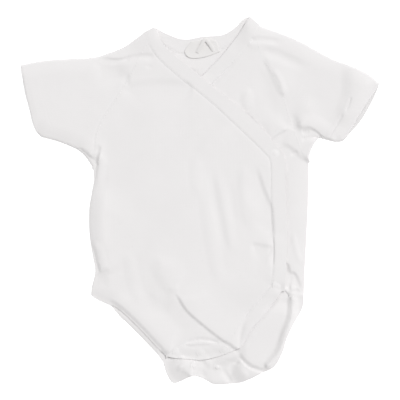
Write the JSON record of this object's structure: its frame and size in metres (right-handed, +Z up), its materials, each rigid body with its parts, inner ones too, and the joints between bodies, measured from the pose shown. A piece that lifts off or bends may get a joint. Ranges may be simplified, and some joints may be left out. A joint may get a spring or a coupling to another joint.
{
  "type": "baby onesie",
  "caption": "Short-sleeved wrap bodysuit for a newborn, laid flat, with bound neck and leg openings, side snaps and an open snap crotch.",
  "frame": {"origin": "on the surface it lies on, under the middle of the laid-out garment's box", "axes": "+Z up out of the surface, +Y from the crotch towards the neck, +X towards the sleeve of the wearer's left arm"},
  "size_m": [0.36, 0.3684, 0.0105],
  "materials": {
    "jersey": "white cotton interlock jersey, matt and soft",
    "binding": "white cotton rib binding, folded double and topstitched",
    "snap": "white moulded snap caps and studs",
    "tape": "white woven cotton tape"
  },
  "bodies": {
    "root": {"back_panel": "jersey", "front_outer": "jersey", "front_inner": "jersey", "sleeve_right": "jersey", "sleeve_left": "jersey", "neck_binding_back": "binding", "neck_binding_inner": "binding", "neck_binding_outer": "binding", "side_binding": "binding", "leg_binding_back_right": "binding", "leg_binding_back_left": "binding", "leg_binding_front_right": "binding", "leg_binding_front_left": "binding", "crotch_band_back": "binding", "crotch_band_front": "binding", "snap_chest": "snap", "snap_hip": "snap", "snap_crotch_right": "snap", "snap_crotch_middle": "snap", "snap_crotch_left": "snap", "snap_stud_right": "snap", "snap_stud_middle": "snap", "neck_patch": "tape", "hanger_loop": "tape"}
  },
  "joints": []
}
